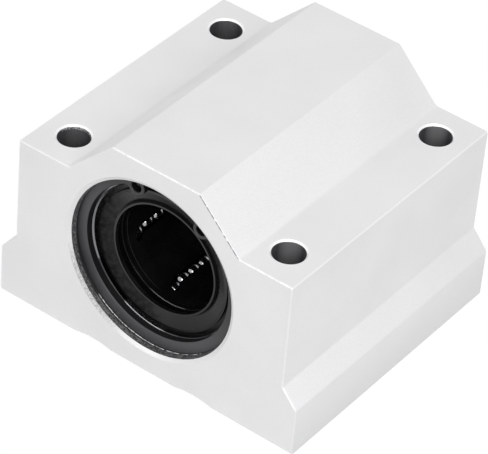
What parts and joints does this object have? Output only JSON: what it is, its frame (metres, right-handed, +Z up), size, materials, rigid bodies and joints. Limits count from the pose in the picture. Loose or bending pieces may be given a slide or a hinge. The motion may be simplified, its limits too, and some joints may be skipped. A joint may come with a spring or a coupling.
{
  "type": "linear guide carriage",
  "caption": "Pillow block carriage: aluminium housing with a sealed recirculating linear ball bearing for a round shaft, held by internal snap rings.",
  "frame": {"origin": "centre of the flat base, midway along the bore", "axes": "+Z up from the base, +Y along the bore away from the front face, +X across the width"},
  "size_m": [0.076, 0.067, 0.0515],
  "materials": {
    "block": "fine blasted, clear anodised",
    "sleeve": "ground hardened steel",
    "cage": "black moulded",
    "balls": "polished steel",
    "cage_ring": "spring steel",
    "seal": "smooth black",
    "snap_ring": "black phosphated spring steel"
  },
  "bodies": {
    "root": {"block": "block", "bearing_sleeve": "sleeve", "ball_cage": "cage", "ball_circuit_1": "balls", "ball_circuit_2": "balls", "ball_circuit_3": "balls", "ball_circuit_4": "balls", "ball_circuit_5": "balls", "ball_circuit_6": "balls", "cage_ring_front": "cage_ring", "cage_ring_rear": "cage_ring", "seal_front": "seal", "seal_rear": "seal", "snap_ring_front": "snap_ring", "snap_ring_rear": "snap_ring"}
  },
  "joints": []
}
